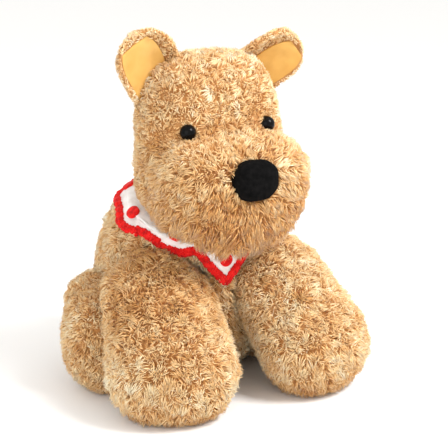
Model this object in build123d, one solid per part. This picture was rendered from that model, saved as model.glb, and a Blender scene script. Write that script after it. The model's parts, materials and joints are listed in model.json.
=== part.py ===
from build123d import *
from math import asin, atan2, cos, degrees, radians, sin, sqrt, tan
import os

os.makedirs("parts", exist_ok=True)

# Sitting plush dog. It faces -Y, its left side is +X, and it stands on the floor z = 0.
# Millimetres. The origin is on the floor, under the middle of the whole toy.

# ---- cloth and clearances ----
CLOTH = 3.0  # plush cloth with its pile pressed down
GAP = 0.6  # room between pieces that move against each other
FAR = 200.0  # longer than any piece, for cutting tools

# ---- head ----
HEAD_Y = -20.0
SKULL_CENTRE = Vector(0, HEAD_Y + 4, 182)
SKULL_HALF = Vector(52, 29, 58)
SKULL_ROUND = 27.0
MUZZLE_CENTRE = Vector(0, HEAD_Y - 28, 148)
MUZZLE_HALF = Vector(55, 32, 38)
MUZZLE_ROUND = 30.0
GUSSET_HALF_WIDTH = 17.0
CHIN_HALF_WIDTH = 30.0
CHIN_TOP = 150.0
CHIN_BACK = HEAD_Y + 16

# ---- neck: one ball centre serves the turn and the nod ----
NECK_CENTRE = Vector(0, HEAD_Y + 16, 131)
NECK_LEAN = 20.0
NECK_BALL_RADIUS = 37.0
NECK_BLOCK = 41.0
NECK_CORE_RADIUS = 25.0
NAPE_RADIUS = 30.0
NAPE_TOP = 18.0
HEAD_CONE = 4.0  # degrees that the head stands above the neck plane
SHOULDER_DROP = 5.0  # of the shoulders below the neck plane

# ---- face ----
NOSE_CENTRE = Vector(0, HEAD_Y - 61, 162)
NOSE_HALF = Vector(18, 10, 15)
NOSE_CLOTH = 1.2
EYE_CENTRE = Vector(31.4, HEAD_Y - 24.5, 191.5)
EYE_RADIUS = 5.6
EYE_SHANK_RADIUS = 1.8
EYE_SHANK_LENGTH = 14.0
EYE_OUTWARD_TURN = 18.0
WASHER_RADIUS = 7.0
WASHER_THICKNESS = 1.5

# ---- ears ----
EAR_BASE = Vector(43, HEAD_Y + 4, 230)
EAR_LEAN = 33.0  # outwards from straight up
EAR_FORWARD = 16.0
EAR_OUTWARD_TURN = 4.0
EAR_HALF_WIDTH = 23.0
EAR_TIP_RADIUS = 16.0
EAR_TIP_HEIGHT = 15.0
EAR_ROOT_DEPTH = 16.0
EAR_CUP_RADIUS = 33.0
EAR_CUP_DEPTH = 7.0  # of the hollow behind the seam
EAR_BACK_THICKNESS = 3.4
EAR_LINING_THICKNESS = 1.4
EAR_RIM = 3.5
EAR_FOLD_RANGE = (-15, 0, 25)

# ---- torso: a pear on a leaning axis ----
TORSO_BASE = Vector(0, HEAD_Y + 58, 0)
TORSO_LEAN = 14.0
RUMP_HEIGHT = 52.0  # along the axis
RUMP_RADIUS = 63.0
SHOULDERS_HEIGHT = 112.0
SHOULDERS_RADIUS = 52.0
BELLY_HALF_WIDTH = 24.0
BELLY_BACK = HEAD_Y + 45

# ---- legs and tail ----
SHOULDER = Vector(43, HEAD_Y - 4, 75)
SHOULDER_RADIUS = 28.0
FRONT_PAW = Vector(55, HEAD_Y - 50, 31)
FRONT_TUBE_START = 6.0
FRONT_LEG_RADII = (27.0, 33.0)
FRONT_LEG_WIDEN = 1.36
FRONT_LEG_TURN = 22.0
FRONT_LEG_RAISE = (0, 22)
HIND_FOOT_PASS = (0, -11, -22)  # the hind foot's turn past the front leg as that leg is raised
HIP = Vector(48, HEAD_Y + 55, 44)
HIP_RADIUS = 32.0
HIND_FOOT = Vector(69, HEAD_Y + 22, 31)
HIND_TUBE_START = 16.0
HIND_LEG_RADII = (28.5, 33.0)
TAIL_ROOT = Vector(0, HEAD_Y + 106, 62)
TAIL_ROOT_RADIUS = 10.0
TAIL_ROOM = 3.0  # the tail's cup is wider than its root by this
TAIL_TIP = Vector(0, HEAD_Y + 121, 88)
TAIL_TUBE_START = 5.0
TAIL_RADII = (8.5, 7.0)

# ---- collar: cloth over the shoulders whose edge hangs in rounded points ----
COLLAR_CLOTH = 1.6
COLLAR_LIFT = 0.4
COLLAR_DROP = 15.0  # of the edge below the neck plane, between the points
POINT_RADIUS = 19.0
SIDE_POINTS = (48, 94, 138)  # degrees from the front
SIDE_POINT_DROP = 20.0
FRONT_POINT_DROP = 38.0
FRONT_POINT_WIDTH = 44.0
EDGING_WIDTH = 6.0
EDGING_THICKNESS = 5.0
DOT_RADIUS = 4.8
DOT_THICKNESS = 1.2
DOT_RISE = 14.0  # of a dot's centre above its point's tip


def rounded_box(centre, half, radius, inset):
    """Box with every edge rounded, drawn in by inset on all sides."""
    box = Box(*(2 * (side - inset) for side in half))
    return Pos(*centre) * fillet(box.edges(), radius - inset)


def tapered_capsule(length, start_radius, end_radius):
    """Two balls on the Z axis, joined by the cone that touches both."""
    return knobbed_capsule(start_radius, 0, length, start_radius, end_radius)


def knobbed_capsule(knob_radius, start, end, start_radius, end_radius):
    """Tapered capsule on the Z axis from start to end, with a ball of its own at the origin."""
    lean = asin((start_radius - end_radius) / (end - start))
    side = Vector(-sin(lean), cos(lean))
    touch = Vector(start_radius * cos(lean), start + start_radius * sin(lean))
    along = touch.dot(side)
    beyond = max(0, along**2 - touch.dot(touch) + knob_radius**2)
    meet = touch + side * (sqrt(beyond) - along)
    end_touch = Vector(end_radius * cos(lean), end + end_radius * sin(lean))
    outline = [
        CenterArc((0, 0), knob_radius, -90, 90 + degrees(atan2(meet.Y, meet.X))),
        Line(meet, end_touch),
        CenterArc((0, end), end_radius, degrees(lean), 90 - degrees(lean)),
        Line((0, end + end_radius), (0, -knob_radius)),
    ]
    return revolve(make_face(Plane.XZ * (Curve() + outline)), Axis.Z)


def limb(root, tip, root_radius, start, radii, inset):
    """Round limb: a ball at its root and a tapering tube to its tip."""
    length = (tip - root).length
    shape = knobbed_capsule(root_radius - inset, start, length, radii[0] - inset, radii[1] - inset)
    return Plane(origin=root, x_dir=(0, 0, 1), z_dir=tip - root).location * shape


def ball(centre, radius):
    return Pos(*centre) * Sphere(radius)


def middle_ball(centre, radius):
    """Ball on the plane of symmetry, with its seam in front, clear of the limbs."""
    return Pos(*centre) * Rot(0, 0, -90) * Sphere(radius)


def swept(shape, centre, direction, angles):
    """Copies of shape along its joint's travel."""
    return [shape.rotate(Axis(centre, direction), angle) for angle in angles]


def cut(shape, tools):
    """Shape less each tool in turn."""
    for tool in tools:
        shape = main_solid(shape - tool)
    return shape


def slab(low, high):
    """Box between two corners."""
    size = Vector(*high) - Vector(*low)
    return Pos(*((Vector(*low) + Vector(*high)) / 2)) * Box(*size)


def mirrored(shape):
    """The same piece on the dog's other side."""
    return mirror(shape, about=Plane.YZ)


def main_solid(shape):
    """The largest solid of a cut shape: slivers left at the cut's edge are dropped."""
    return max(shape.solids(), key=lambda solid: solid.volume)


def save(name, shape):
    export_step(shape, f"parts/{name}.step")


ABOVE_FLOOR = slab((-FAR, -FAR, 0), (FAR, FAR, 2 * FAR))
LEFT_HALF = slab((0, -FAR, -FAR), (FAR, FAR, 2 * FAR))

# ---- neck: the head is cut to a cone and the shoulders to a plane below it ----
NECK_AXIS = Vector(0, -sin(radians(NECK_LEAN)), cos(radians(NECK_LEAN)))
NECK_PLANE = Plane(origin=NECK_CENTRE, x_dir=(0, -1, 0), z_dir=NECK_AXIS)


def above_shoulders(inset):
    """Block above the flat top of the shoulders."""
    return NECK_PLANE.location * (Pos(0, 0, FAR - SHOULDER_DROP - inset) * Box(2 * FAR, 2 * FAR, 2 * FAR))


def neck_ball(radius):
    return middle_ball(NECK_CENTRE, radius)


# ---- limbs: inset 0 is the outer face, CLOTH the stuffing, and -GAP the room they need ----
def front_leg_tube(inset):
    """Flattened tapering tube, wider across than from front to back."""
    start = SHOULDER + (FRONT_PAW - SHOULDER).normalized() * FRONT_TUBE_START
    length = (FRONT_PAW - start).length
    tube = tapered_capsule(length, *(radius - inset for radius in FRONT_LEG_RADII))
    turn = radians(FRONT_LEG_TURN)
    place = Plane(origin=start, x_dir=(cos(turn), sin(turn), 0), z_dir=FRONT_PAW - start)
    return place.location * scale(tube, by=(FRONT_LEG_WIDEN, 1, 1))


def hind_leg(inset):
    return limb(HIP, HIND_FOOT, HIP_RADIUS, HIND_TUBE_START, HIND_LEG_RADII, inset)


def front_leg(inset):
    """Tube and shoulder ball, hollowed where the hind foot rests against it and is passed."""
    leg = front_leg_tube(inset) + ball(SHOULDER, SHOULDER_RADIUS - inset)
    return cut(leg, swept(hind_leg(-GAP - inset), SHOULDER, (-1, 0, 0), HIND_FOOT_PASS))


def tail(inset):
    return limb(TAIL_ROOT, TAIL_TIP, TAIL_ROOT_RADIUS, TAIL_TUBE_START, TAIL_RADII, inset)


def floor_cut(shape, height):
    """The part of shape above a height: cloth lies flat where the toy rests."""
    return shape & (Pos(0, 0, height) * ABOVE_FLOOR)


def pad(make_shape):
    """Outer face and stuffing of a sewn piece, flat on the floor."""
    return floor_cut(make_shape(0), 0), floor_cut(make_shape(CLOTH), CLOTH)


# ---- torso ----
TORSO_AXIS = Vector(0, -sin(radians(TORSO_LEAN)), cos(radians(TORSO_LEAN)))
TORSO_PLANE = Plane(origin=TORSO_BASE, x_dir=(0, -1, 0), z_dir=TORSO_AXIS)


def pear(inset):
    """Round rump and narrower shoulders on the leaning axis, flat on top."""
    body = tapered_capsule(SHOULDERS_HEIGHT - RUMP_HEIGHT, RUMP_RADIUS - inset, SHOULDERS_RADIUS - inset)
    return (TORSO_PLANE.location * (Pos(0, 0, RUMP_HEIGHT) * body)) - above_shoulders(inset)


def front_leg_room(room):
    """Space that the left front leg passes through."""
    tubes = swept(front_leg_tube(-room), SHOULDER, (-1, 0, 0), FRONT_LEG_RAISE)
    return [ball(SHOULDER, SHOULDER_RADIUS + room)] + tubes


def limb_room(room):
    """Space kept free for the neck ball, the legs and the tail."""
    left = front_leg_room(room) + [hind_leg(-room)]
    right = [mirrored(tool) for tool in left]
    tail_cup = middle_ball(TAIL_ROOT, TAIL_ROOT_RADIUS + TAIL_ROOM + room)
    return [neck_ball(NECK_BALL_RADIUS + room), tail_cup] + left + right


def torso_part(zone):
    """Cloth of the torso inside a zone, open where the limbs and the neck go in."""
    return cut(zone & torso_shell, limb_room(GAP))


torso_shell = floor_cut(pear(0), 0) - floor_cut(pear(CLOTH), CLOTH)
belly_zone = slab((-BELLY_HALF_WIDTH, -FAR, -FAR), (BELLY_HALF_WIDTH, BELLY_BACK, 2 * FAR))
torso_side = torso_part(LEFT_HALF - belly_zone)
save("belly_panel", torso_part(belly_zone))
save("torso_left_panel", torso_side)
save("torso_right_panel", mirrored(torso_side))
save("torso_stuffing", cut(floor_cut(pear(CLOTH), CLOTH), limb_room(GAP + CLOTH)))

# ---- neck ----
save("neck_stuffing", neck_ball(NECK_CORE_RADIUS))


# ---- head ----
def below_head(inset):
    """Everything under the head: outside the ball of the neck and below its cone."""
    radius = NECK_BALL_RADIUS - inset
    rim = HEAD_CONE + degrees(asin(inset / radius))
    ball_arc = CenterArc((0, 0), radius, -90, 90 + rim)
    corners = [ball_arc @ 1, (FAR, FAR * tan(radians(rim))), (FAR, -FAR), (0, -FAR), (0, -radius)]
    outline = Curve() + [ball_arc, Polyline(*corners)]
    return NECK_PLANE.location * revolve(make_face(Plane.XZ * outline), Axis.Z)


def head(inset):
    """Skull, muzzle and neck blocks, cut to the ball and clear of the shoulders below."""
    skull = rounded_box(SKULL_CENTRE, SKULL_HALF, SKULL_ROUND, inset)
    muzzle = rounded_box(MUZZLE_CENTRE, MUZZLE_HALF, MUZZLE_ROUND, inset)
    neck = Pos(0, 0, -NECK_BLOCK / 2) * Cylinder(NECK_BLOCK, NECK_BLOCK)
    nape = Pos(0, 0, -inset) * Cylinder(NAPE_RADIUS - inset, 2 * NAPE_TOP)
    return main_solid((skull + muzzle + NECK_PLANE.location * (neck + nape)) - below_head(inset))


def eye_frame():
    """Frame at the left eye, with Z pointing out of the head."""
    turn = radians(EYE_OUTWARD_TURN)
    return Plane(origin=EYE_CENTRE, x_dir=(cos(turn), sin(turn), 0), z_dir=(sin(turn), -cos(turn), 0))


def eye():
    """Glossy bead with a flat back and a shank through the cloth."""
    bead = Sphere(EYE_RADIUS) & slab((-FAR, -FAR, -EYE_RADIUS / 4), (FAR, FAR, FAR))
    shank = Pos(0, 0, -EYE_SHANK_LENGTH / 2) * Cylinder(EYE_SHANK_RADIUS, EYE_SHANK_LENGTH)
    return eye_frame().location * (bead + shank)


def eye_washer():
    """Locking washer pressed on the shank behind the cloth."""
    ring = Cylinder(WASHER_RADIUS, WASHER_THICKNESS) - Cylinder(EYE_SHANK_RADIUS, WASHER_THICKNESS)
    depth = EYE_RADIUS / 4 + CLOTH + WASHER_THICKNESS
    return eye_frame().location * (Pos(0, 0, -depth) * ring)


def ellipsoid(centre, half, inset):
    return Pos(*centre) * scale(Sphere(1), by=tuple(side - inset for side in half))


head_outer = head(0)
head_inner = head(CLOTH)
head_core = neck_ball(NECK_CORE_RADIUS + GAP)
left_eye = eye()
left_washer = eye_washer()
eye_parts = [left_eye, left_washer, mirrored(left_eye), mirrored(left_washer)]
head_cover = cut(head_outer, [head_inner] + eye_parts)
gusset_zone = slab((-GUSSET_HALF_WIDTH, -FAR, -FAR), (GUSSET_HALF_WIDTH, FAR, 2 * FAR))
chin_zone = slab((-CHIN_HALF_WIDTH, -FAR, -FAR), (CHIN_HALF_WIDTH, CHIN_BACK, CHIN_TOP))
head_side = cut(head_cover & LEFT_HALF, [gusset_zone, chin_zone])
save("head_gusset", cut(head_cover & gusset_zone, [chin_zone]))
save("chin_panel", main_solid(head_cover & chin_zone))
save("head_left_panel", head_side)
save("head_right_panel", mirrored(head_side))
save("head_stuffing", cut(head_inner, [head_core] + eye_parts))
save("left_eye", left_eye)
save("right_eye", mirrored(left_eye))
save("left_eye_washer", left_washer)
save("right_eye_washer", mirrored(left_washer))

# ---- nose: a padded oval sewn to the front of the muzzle ----
nose_outer = ellipsoid(NOSE_CENTRE, NOSE_HALF, 0) - head_outer
nose_inner = ellipsoid(NOSE_CENTRE, NOSE_HALF, NOSE_CLOTH) - head_outer
save("nose_cover", main_solid(nose_outer - nose_inner))
save("nose_padding", main_solid(nose_inner))


# ---- ears ----
def ear_axes():
    """Directions up the left ear and out of its lining."""
    lean = radians(EAR_LEAN)
    forward = radians(EAR_FORWARD)
    turn = radians(EAR_OUTWARD_TURN)
    up = Vector(sin(lean) * cos(forward), -sin(forward), cos(lean) * cos(forward))
    facing = Vector(sin(turn), -cos(turn), 0)
    return up, (facing - up * facing.dot(up)).normalized()


EAR_UP, EAR_FACING = ear_axes()
EAR_SEAM = EAR_UP.cross(EAR_FACING)
EAR_PLANE = Plane(origin=EAR_BASE, x_dir=EAR_UP.cross(EAR_FACING) * -1, z_dir=EAR_FACING)


def ear_blade(trim):
    """Rounded outline of the ear, straight through its thickness."""
    tip = Pos(0, EAR_TIP_HEIGHT) * Circle(EAR_TIP_RADIUS - trim)
    root = Pos(0, -EAR_ROOT_DEPTH / 2) * Rectangle(2 * (EAR_HALF_WIDTH - trim), EAR_ROOT_DEPTH)
    outline = make_hull((tip + root).edges())
    return EAR_PLANE.location * extrude(outline, amount=EAR_CUP_RADIUS, both=True)


def ear_cup(radius):
    """Ball whose skin is the hollow of the ear."""
    middle = EAR_BASE + EAR_UP * (EAR_TIP_HEIGHT / 2) + EAR_FACING * (EAR_CUP_RADIUS - EAR_CUP_DEPTH)
    return ball(middle, radius)


def ear_layer(outer_radius, inner_radius, trim):
    """One layer of the ear's cloth, clear of the head through the whole fold."""
    layer = (ear_blade(trim) & ear_cup(outer_radius)) - ear_cup(inner_radius)
    back_half = Pos(*EAR_BASE) * Plane(origin=(0, 0, 0), x_dir=EAR_UP, z_dir=EAR_FACING).location
    layer = layer & (back_half * slab((-FAR, -FAR, -FAR), (FAR, FAR, EAR_TIP_HEIGHT)))
    skull = rounded_box(SKULL_CENTRE, SKULL_HALF, SKULL_ROUND, -GAP)
    reverse = [-angle for angle in EAR_FOLD_RANGE]
    return cut(layer, swept(skull, EAR_BASE, EAR_SEAM, reverse))


lining_radius = EAR_CUP_RADIUS - EAR_BACK_THICKNESS
ear_back = ear_layer(EAR_CUP_RADIUS, lining_radius, 0)
ear_lining = ear_layer(lining_radius, lining_radius - EAR_LINING_THICKNESS, EAR_RIM)
for side, place in (("left", lambda shape: shape), ("right", mirrored)):
    save(f"{side}_ear_back", place(ear_back))
    save(f"{side}_ear_lining", place(ear_lining))


# ---- legs and tail ----
def save_limb(name, make_shape, seam_point, seam_normal):
    """Two cloth panels that meet at a seam along the limb, over one stuffing."""
    outer, inner = pad(make_shape)
    cover = outer - inner
    seam = Plane(origin=seam_point, z_dir=seam_normal)
    outer_panel = main_solid(split(cover, bisect_by=seam, keep=Keep.TOP))
    inner_panel = main_solid(split(cover, bisect_by=seam, keep=Keep.BOTTOM))
    for side, place in (("left", lambda shape: shape), ("right", mirrored)):
        save(f"{side}_{name}_outer_panel", place(outer_panel))
        save(f"{side}_{name}_inner_panel", place(inner_panel))
        save(f"{side}_{name}_stuffing", place(inner))


front_turn = radians(FRONT_LEG_TURN)
save_limb("front_leg", front_leg, SHOULDER, Vector(cos(front_turn), sin(front_turn), 0))
hind_line = HIND_FOOT - HIP
save_limb("hind_leg", hind_leg, HIP, Vector(-hind_line.Y, hind_line.X, 0))

tail_cover = tail(0) - tail(CLOTH)
tail_side = main_solid(tail_cover & LEFT_HALF)
save("tail_left_panel", tail_side)
save("tail_right_panel", mirrored(tail_side))
save("tail_stuffing", tail(CLOTH))


# ---- collar ----
def radial(angle, height, shape, reach=FAR / 2):
    """Shape's outline carried straight out from the neck axis. Angle 0 is the front."""
    turn = radians(angle)
    frame = Plane(origin=(0, 0, height), x_dir=(0, 0, 1), z_dir=(cos(turn), sin(turn), 0))
    return NECK_PLANE.location * (frame.location * extrude(shape, amount=reach))


def collar_cutters(trim):
    """Spaces that hold the collar: a band round the neck and the points hanging from it."""
    band = Pos(0, 0, trim - COLLAR_DROP + FAR / 4) * Cylinder(FAR / 2, FAR / 2)
    cutters = [NECK_PLANE.location * band]
    round_point = Circle(POINT_RADIUS - trim)
    height = POINT_RADIUS - SIDE_POINT_DROP
    for angle in SIDE_POINTS:
        cutters += [radial(angle, height, round_point), radial(-angle, height, round_point)]
    cutters.append(radial(180, height, round_point))
    half = FRONT_POINT_WIDTH / 2 - trim
    front_point = Polyline((0, half), (trim - FRONT_POINT_DROP, 0), (0, -half), close=True)
    cutters.append(radial(0, 0, make_face(front_point)))
    return cutters


def collar_layer(lift, thickness):
    """Layer that follows the shoulders, clear of the moving limbs and the head."""
    over = lift + thickness
    legs = front_leg_room(GAP)
    legs += [mirrored(tool) for tool in legs]
    return cut(pear(-over), [pear(-lift), neck_ball(NECK_BALL_RADIUS + GAP)] + legs)


def collar_piece(layer, trim):
    pieces = [layer & cutter for cutter in collar_cutters(trim)]
    return main_solid(pieces[0].fuse(*pieces[1:]))


def collar_dots():
    """Round felt dots on the cloth, one above the tip of each point."""
    layer = collar_layer(COLLAR_LIFT + COLLAR_CLOTH, DOT_THICKNESS)
    places = [(angle, SIDE_POINT_DROP) for angle in SIDE_POINTS]
    places += [(-angle, drop) for angle, drop in places] + [(0, FRONT_POINT_DROP - DOT_RADIUS)]
    return [
        main_solid(layer & radial(angle, DOT_RISE - drop, Circle(DOT_RADIUS)))
        for angle, drop in places
    ]


save("collar_cloth", collar_piece(collar_layer(COLLAR_LIFT, COLLAR_CLOTH), EDGING_WIDTH))
edging = collar_piece(collar_layer(COLLAR_LIFT, EDGING_THICKNESS), 0)
save("collar_edging", cut(edging, collar_cutters(EDGING_WIDTH)))
save("collar_dots", Compound(children=collar_dots()))
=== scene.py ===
import json
import math

import bmesh
import bpy
import numpy as np
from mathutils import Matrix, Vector
from mathutils.bvhtree import BVHTree
from mathutils.kdtree import KDTree


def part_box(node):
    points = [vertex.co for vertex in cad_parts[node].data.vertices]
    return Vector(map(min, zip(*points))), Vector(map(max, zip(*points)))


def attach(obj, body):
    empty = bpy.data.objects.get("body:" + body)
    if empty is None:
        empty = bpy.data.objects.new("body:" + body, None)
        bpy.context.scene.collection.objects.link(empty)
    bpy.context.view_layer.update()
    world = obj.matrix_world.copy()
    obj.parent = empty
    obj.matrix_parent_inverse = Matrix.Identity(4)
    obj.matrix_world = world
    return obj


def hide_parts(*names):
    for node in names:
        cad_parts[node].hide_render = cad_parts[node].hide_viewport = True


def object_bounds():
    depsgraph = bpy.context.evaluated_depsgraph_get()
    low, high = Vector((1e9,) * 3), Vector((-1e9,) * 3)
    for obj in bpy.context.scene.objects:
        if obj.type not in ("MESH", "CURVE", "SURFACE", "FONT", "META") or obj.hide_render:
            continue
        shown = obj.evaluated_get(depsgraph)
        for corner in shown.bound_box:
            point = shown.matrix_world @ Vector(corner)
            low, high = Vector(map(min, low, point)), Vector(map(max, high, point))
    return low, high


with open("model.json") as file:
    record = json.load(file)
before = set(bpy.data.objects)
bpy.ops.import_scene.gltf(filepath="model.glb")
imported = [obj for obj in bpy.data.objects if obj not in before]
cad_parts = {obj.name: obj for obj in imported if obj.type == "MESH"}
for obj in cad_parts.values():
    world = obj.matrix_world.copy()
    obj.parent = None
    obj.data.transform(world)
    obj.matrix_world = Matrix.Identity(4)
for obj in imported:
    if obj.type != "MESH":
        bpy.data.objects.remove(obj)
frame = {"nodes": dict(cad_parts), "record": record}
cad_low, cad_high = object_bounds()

MM = 0.001
FLOOR_GAP = 0.3 * MM
record = frame["record"]
joints = {joint["name"]: joint for joint in record["behaviour"]["joints"]}
bodies = record["behaviour"]["bodies"]
rng = np.random.default_rng(7)


def joint_place(name):
    """Position and unit axis of a joint."""
    axis = Vector(joints[name]["axis"]).normalized()
    return Vector(joints[name]["pos_m"]), axis


NECK, NECK_AXIS = joint_place("neck_turn")
FORWARD = Vector((0, -1, 0))
NECK_FRONT = (FORWARD - NECK_AXIS * FORWARD.dot(NECK_AXIS)).normalized()
NECK_SIDE = NECK_AXIS.cross(NECK_FRONT)


# ---- materials ----
WEAVE_DEPTH = 0.4 * MM


def new_material(name):
    """A new material, its node tree and its shader."""
    material = bpy.data.materials.new(name)
    material.use_nodes = True
    return material, material.node_tree, material.node_tree.nodes["Principled BSDF"]


def noise_node(tree, scale, detail=3.0):
    """Noise in the piece's own space, so it moves with the piece."""
    coords = tree.nodes.new("ShaderNodeTexCoord")
    noise = tree.nodes.new("ShaderNodeTexNoise")
    noise.inputs["Scale"].default_value = scale
    noise.inputs["Detail"].default_value = detail
    tree.links.new(coords.outputs["Object"], noise.inputs["Vector"])
    return noise


def ramp_node(tree, source, stops):
    """Colour ramp with a stop for each place and colour."""
    ramp = tree.nodes.new("ShaderNodeValToRGB")
    elements = ramp.color_ramp.elements
    while len(elements) < len(stops):
        elements.new(0.5)
    for element, (place, colour) in zip(elements, stops):
        element.position = place
        element.color = (*colour, 1)
    tree.links.new(source, ramp.inputs["Fac"])
    return ramp


def add_bump(tree, shader, height, strength, distance):
    bump = tree.nodes.new("ShaderNodeBump")
    bump.inputs["Strength"].default_value = strength
    bump.inputs["Distance"].default_value = distance
    tree.links.new(height, bump.inputs["Height"])
    tree.links.new(bump.outputs["Normal"], shader.inputs["Normal"])


def cloth_material(name, stops, scale, rough, sheen, bump_scale, bump, shine=0.5):
    """Cloth with colour that varies over its surface, a nap and a fine bumpy weave."""
    material, tree, shader = new_material(name)
    colour = ramp_node(tree, noise_node(tree, scale).outputs["Fac"], stops)
    tree.links.new(colour.outputs["Color"], shader.inputs["Base Color"])
    shader.inputs["Roughness"].default_value = rough
    shader.inputs["Sheen Weight"].default_value = sheen
    shader.inputs["Sheen Roughness"].default_value = 0.5
    shader.inputs["Specular IOR Level"].default_value = shine
    add_bump(tree, shader, noise_node(tree, bump_scale, 4).outputs["Fac"], bump, WEAVE_DEPTH)
    return material


def plain_material(name, colour, rough, sheen):
    material, _, shader = new_material(name)
    shader.inputs["Base Color"].default_value = (*colour, 1)
    shader.inputs["Roughness"].default_value = rough
    shader.inputs["Sheen Weight"].default_value = sheen
    shader.inputs["Sheen Roughness"].default_value = 0.4
    return material


# Fur colours from deep brown-orange to cream. Besides the fur's own tan, the deep end serves as painted
# shade and the cream end as painted highlight.
FUR_SHADES = [
    (0.42, 0.148, 0.026),
    (0.56, 0.235, 0.050),
    (0.73, 0.390, 0.125),
    (0.87, 0.555, 0.245),
    (0.94, 0.705, 0.390),
    (0.97, 0.840, 0.590),
]
fur_materials = [
    plain_material(f"fur shade {index}", colour, 0.55, 0.25) for index, colour in enumerate(FUR_SHADES)
]
plush_skin = cloth_material(
    "plush skin",
    [(0.3, (0.30, 0.125, 0.035)), (0.5, (0.44, 0.215, 0.075)), (0.7, (0.58, 0.33, 0.14))],
    scale=90, rough=0.95, sheen=0.05, bump_scale=900, bump=0.8, shine=0.2,
)
lining_cloth = cloth_material(
    "ear lining velour",
    [(0.3, (0.58, 0.30, 0.065)), (0.55, (0.67, 0.38, 0.10)), (0.8, (0.75, 0.46, 0.155))],
    scale=38, rough=0.8, sheen=0.15, bump_scale=2200, bump=0.35, shine=0.2,
)
nose_cloth = cloth_material(
    "nose velour",
    [(0.3, (0.002, 0.002, 0.002)), (0.7, (0.006, 0.0055, 0.0055))],
    scale=300, rough=0.95, sheen=0.0, bump_scale=1800, bump=0.6, shine=0.05,
)
felt_cloth = cloth_material(
    "collar felt",
    [(0.3, (0.78, 0.74, 0.70)), (0.55, (0.88, 0.85, 0.82)), (0.8, (0.93, 0.92, 0.90))],
    scale=160, rough=0.95, sheen=0.3, bump_scale=1100, bump=0.7,
)
red_yarn = cloth_material(
    "red chenille",
    [(0.3, (0.45, 0.003, 0.003)), (0.5, (0.74, 0.006, 0.005)), (0.75, (0.86, 0.02, 0.015))],
    scale=260, rough=0.8, sheen=0.08, bump_scale=1400, bump=0.9, shine=0.2,
)


def bead_material():
    """Black plastic with a clear highlight."""
    material, tree, shader = new_material("glossy bead")
    colour = ramp_node(tree, noise_node(tree, 200).outputs["Fac"],
                       [(0.3, (0.002, 0.002, 0.002)), (0.7, (0.006, 0.005, 0.005))])
    tree.links.new(colour.outputs["Color"], shader.inputs["Base Color"])
    shader.inputs["Roughness"].default_value = 0.1
    shader.inputs["Specular IOR Level"].default_value = 0.09
    return material


# ---- meshes ----
def link_object(name, data):
    """New object in the scene, with a mesh, light or camera for its data."""
    thing = bpy.data.objects.new(name, data)
    bpy.context.scene.collection.objects.link(thing)
    return thing


def mesh_from(verts, faces):
    mesh = bpy.data.meshes.new("mesh")
    mesh.from_pydata([tuple(v) for v in verts], [], faces)
    mesh.update()
    return mesh


def face_outward(mesh):
    """Turns every face's normal outward."""
    shape = bmesh.new()
    shape.from_mesh(mesh)
    bmesh.ops.recalc_face_normals(shape, faces=shape.faces)
    shape.to_mesh(mesh)
    shape.free()


def shade_smooth(mesh):
    mesh.polygons.foreach_set("use_smooth", [True] * len(mesh.polygons))
    mesh.update()


def applied(thing):
    """The thing's mesh with its modifiers applied."""
    graph = bpy.context.evaluated_depsgraph_get()
    mesh = bpy.data.meshes.new_from_object(thing.evaluated_get(graph))
    thing.modifiers.clear()
    old = thing.data
    thing.data = mesh
    bpy.data.meshes.remove(old)
    return mesh


def triangles(mesh):
    """A mesh's points, and the three corners of each triangle."""
    mesh.calc_loop_triangles()
    points = np.empty(len(mesh.vertices) * 3)
    mesh.vertices.foreach_get("co", points)
    corners = np.empty(len(mesh.loop_triangles) * 3, dtype=np.int64)
    mesh.loop_triangles.foreach_get("vertices", corners)
    return points.reshape(-1, 3), corners.reshape(-1, 3)


def set_points(mesh, points):
    mesh.vertices.foreach_set("co", points.ravel())
    mesh.update()


def points_of(mesh):
    """A mesh's points as an array."""
    points = np.empty(len(mesh.vertices) * 3)
    mesh.vertices.foreach_get("co", points)
    return points.reshape(-1, 3)


def normals_of(mesh):
    """The normal at each of a mesh's points."""
    normals = np.empty(len(mesh.vertices) * 3)
    mesh.vertices.foreach_get("normal", normals)
    return normals.reshape(-1, 3)


WAVE_SUM, WAVE_LEVEL = 6, 3.2


def waves(points, length, seed):
    """Smooth noise, mostly between -1 and 1, whose waves are about this long."""
    source = np.random.default_rng(seed)
    total = np.zeros(len(points))
    for _ in range(WAVE_SUM):
        direction = source.normal(size=3)
        direction /= np.linalg.norm(direction)
        step = 2 * np.pi / (length * source.uniform(0.7, 1.5))
        total += np.sin(points @ direction * step + source.uniform(0, 7))
    return total / WAVE_LEVEL


def wave_vectors(points, length, seed):
    return np.stack([waves(points, length, seed + axis) for axis in range(3)], axis=1)


def as_piece(thing, material, body, slot, *nodes):
    """Makes the thing a smooth piece that rides a body and stands for some of its nodes."""
    shade_smooth(thing.data)
    thing.data.materials.append(material)
    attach(thing, body)
    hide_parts(*nodes)


def eased(thing, voxel, factor, rounds):
    """Remeshes the thing in voxels and rounds its corners. Gives its new mesh."""
    remesh = thing.modifiers.new("remesh", "REMESH")
    remesh.mode = "VOXEL"
    remesh.voxel_size = voxel
    ease = thing.modifiers.new("ease", "SMOOTH")
    ease.factor = factor
    ease.iterations = rounds
    return applied(thing)


# ---- skins ----
LEGS = ["left_front_leg", "right_front_leg", "left_hind_leg", "right_hind_leg"]
FRONT_LEGS, HIND_LEGS = LEGS[:2], LEGS[2:]
VOXEL, TAIL_VOXEL = 3 * MM, 1.5 * MM
LUMPS, TAIL_LUMPS = 0.8 * MM, 0.3 * MM
WIDE_LUMP, FINE_LUMP = 34 * MM, 15 * MM


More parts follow.
